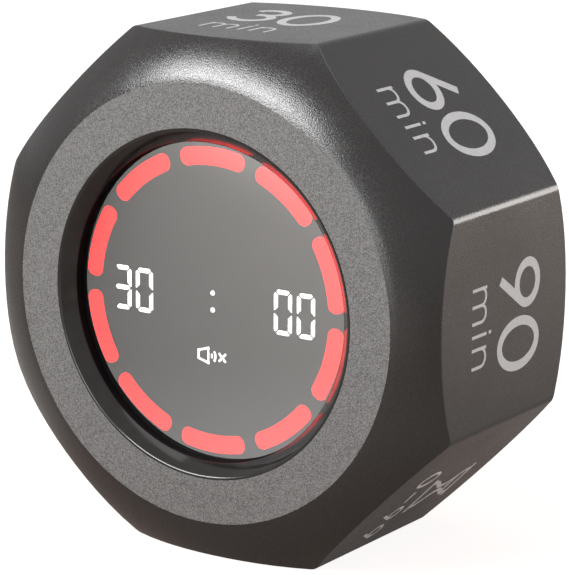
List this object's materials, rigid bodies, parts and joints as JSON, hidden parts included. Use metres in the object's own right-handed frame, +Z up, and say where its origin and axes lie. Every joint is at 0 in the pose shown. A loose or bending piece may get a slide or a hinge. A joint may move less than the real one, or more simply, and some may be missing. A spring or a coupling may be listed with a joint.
{
  "type": "octagonal flip timer",
  "caption": "Eight-sided desk timer with a domed edge, a round lit display with arc bars and digits, and buttons, loudspeaker and charging port in the back.",
  "frame": {"origin": "middle of the side that the timer stands on", "axes": "+Z up, display facing -Y, +X to the right as seen from the front"},
  "size_m": [0.064, 0.035, 0.064],
  "materials": {
    "body_plastic": "fine matt texture",
    "ring_plastic": "coarse sparkling grain",
    "bezel_gloss": "polished black",
    "clear_lens": "clear, polished",
    "display_grey": "smooth smoked grey",
    "red_light": "lit red diffuser",
    "white_light": "lit white diffuser",
    "diffuser_off": "unlit diffuser",
    "white_plastic": "matt white",
    "board_green": "green lacquer",
    "light_chip": "moulded resin",
    "black_plastic": "matt black",
    "foam_tape": "soft foam",
    "battery_foil": "satin foil",
    "nickel": "plain strip",
    "gilt_brass": "bright",
    "button_plastic": "fine matt texture",
    "port_steel": "drawn sheet",
    "magnet_steel": "zinc plated",
    "cone_paper": "pressed pulp",
    "mesh_cloth": "fine woven mesh",
    "screw_steel": "blackened"
  },
  "bodies": {
    "housing": {"body_shell": "body_plastic", "face_ring": "ring_plastic", "bezel": "bezel_gloss", "cover_lens": "clear_lens", "display_mask": "display_grey", "progress_bars": "red_light", "lit_segments": "white_light", "unlit_segments": "diffuser_off", "colon_dots": "white_light", "mute_sign": "white_light", "reflector": "white_plastic", "led_board": "board_green", "led_chips": "light_chip", "chassis": "black_plastic", "battery_tape": "foam_tape", "battery": "battery_foil", "battery_tabs": "nickel", "header_block": "black_plastic", "header_pins": "gilt_brass", "main_board": "board_green", "microcontroller": "black_plastic", "tilt_sensor": "black_plastic", "switch_bodies": "black_plastic", "port_shell": "port_steel", "port_tongue": "black_plastic", "speaker_frame": "black_plastic", "speaker_magnet": "magnet_steel", "speaker_diaphragm": "cone_paper", "speaker_contacts": "gilt_brass", "speaker_mesh": "mesh_cloth", "rear_cover": "body_plastic", "rear_screws": "screw_steel"},
    "plus": {"plus_button": "button_plastic", "plus_plunger": "white_plastic"},
    "minus": {"minus_button": "button_plastic", "minus_plunger": "white_plastic"},
    "sound": {"sound_button": "button_plastic", "sound_plunger": "white_plastic"}
  },
  "joints": [
    {"name": "plus_press", "type": "slide", "parent": "housing", "child": "plus", "axis": [0, -1, 0], "range_m": [0, 0.0005], "stiffness_N_per_m": 2000},
    {"name": "minus_press", "type": "slide", "parent": "housing", "child": "minus", "axis": [0, -1, 0], "range_m": [0, 0.0005], "stiffness_N_per_m": 2000},
    {"name": "sound_press", "type": "slide", "parent": "housing", "child": "sound", "axis": [0, -1, 0], "range_m": [0, 0.0005], "stiffness_N_per_m": 2000}
  ]
}
